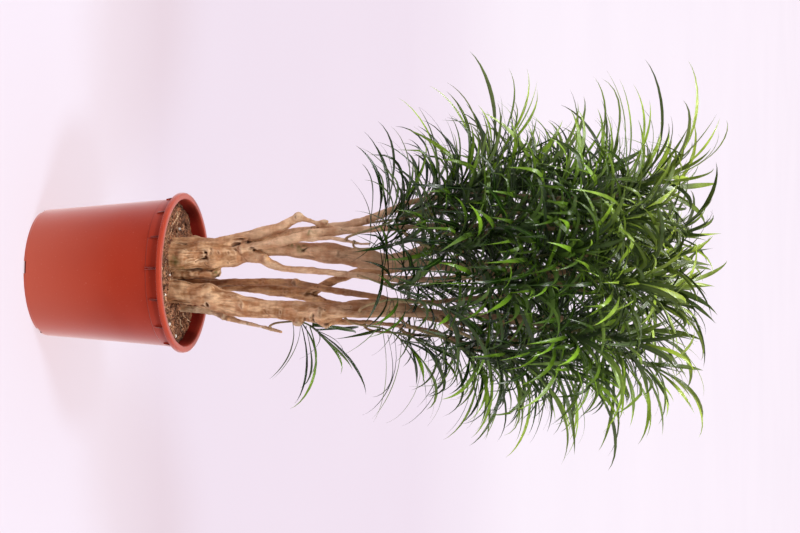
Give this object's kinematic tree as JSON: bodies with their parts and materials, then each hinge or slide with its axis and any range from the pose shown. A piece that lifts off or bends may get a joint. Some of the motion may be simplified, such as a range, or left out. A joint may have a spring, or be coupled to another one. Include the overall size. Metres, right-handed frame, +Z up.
{
  "type": "potted dracaena",
  "caption": "Tall narrow-leaved dracaena: several old woody stems in one plastic nursery pot, forking into canes that carry tufts of long arching leaves.",
  "frame": {"origin": "centre of the pot's flat underside", "axes": "+Z up along the pot's axis, -Y towards the front, +X to the right seen from the front"},
  "size_m": [0.8523, 0.7677, 1.4416],
  "materials": {
    "pot": "satin",
    "soil": "matte",
    "bark": "matte",
    "leaf": "satin"
  },
  "bodies": {
    "root": {"leafy_shoot_01": "leaf", "leafy_shoot_02": "leaf", "leafy_shoot_03": "leaf", "leafy_shoot_04": "leaf", "leafy_shoot_05": "leaf", "leafy_shoot_06": "leaf", "leafy_shoot_07": "leaf", "leafy_shoot_08": "leaf", "leafy_shoot_09": "leaf", "leafy_shoot_10": "leaf", "leafy_shoot_11": "leaf", "leafy_shoot_12": "leaf", "leafy_shoot_13": "leaf", "leafy_shoot_14": "leaf", "leafy_shoot_15": "leaf", "leafy_shoot_16": "leaf", "leafy_shoot_17": "leaf", "leafy_shoot_18": "leaf", "leafy_shoot_19": "leaf", "leafy_shoot_20": "leaf", "leafy_shoot_21": "leaf", "leafy_shoot_22": "leaf", "leafy_shoot_23": "leaf", "leafy_shoot_24": "leaf", "leafy_shoot_25": "leaf", "leafy_shoot_26": "leaf", "leafy_shoot_27": "leaf", "leafy_shoot_28": "leaf", "leafy_shoot_29": "leaf", "leafy_shoot_30": "leaf", "leafy_shoot_31": "leaf", "leafy_shoot_32": "leaf", "leafy_shoot_33": "leaf", "leafy_shoot_34": "leaf", "leafy_shoot_35": "leaf", "leafy_shoot_36": "leaf", "leafy_shoot_37": "leaf", "leafy_shoot_38": "leaf", "leafy_shoot_39": "leaf", "leafy_shoot_40": "leaf", "leafy_shoot_41": "leaf", "leafy_shoot_42": "leaf", "leafy_shoot_43": "leaf", "leafy_shoot_44": "leaf", "leafy_shoot_45": "leaf", "leafy_shoot_46": "leaf", "leafy_shoot_47": "leaf", "leafy_shoot_48": "leaf", "leafy_shoot_49": "leaf", "leafy_shoot_50": "leaf", "pot": "pot", "soil": "soil", "stem_left": "bark", "stem_middle": "bark", "stem_right": "bark", "stem_thin": "bark"}
  },
  "joints": []
}
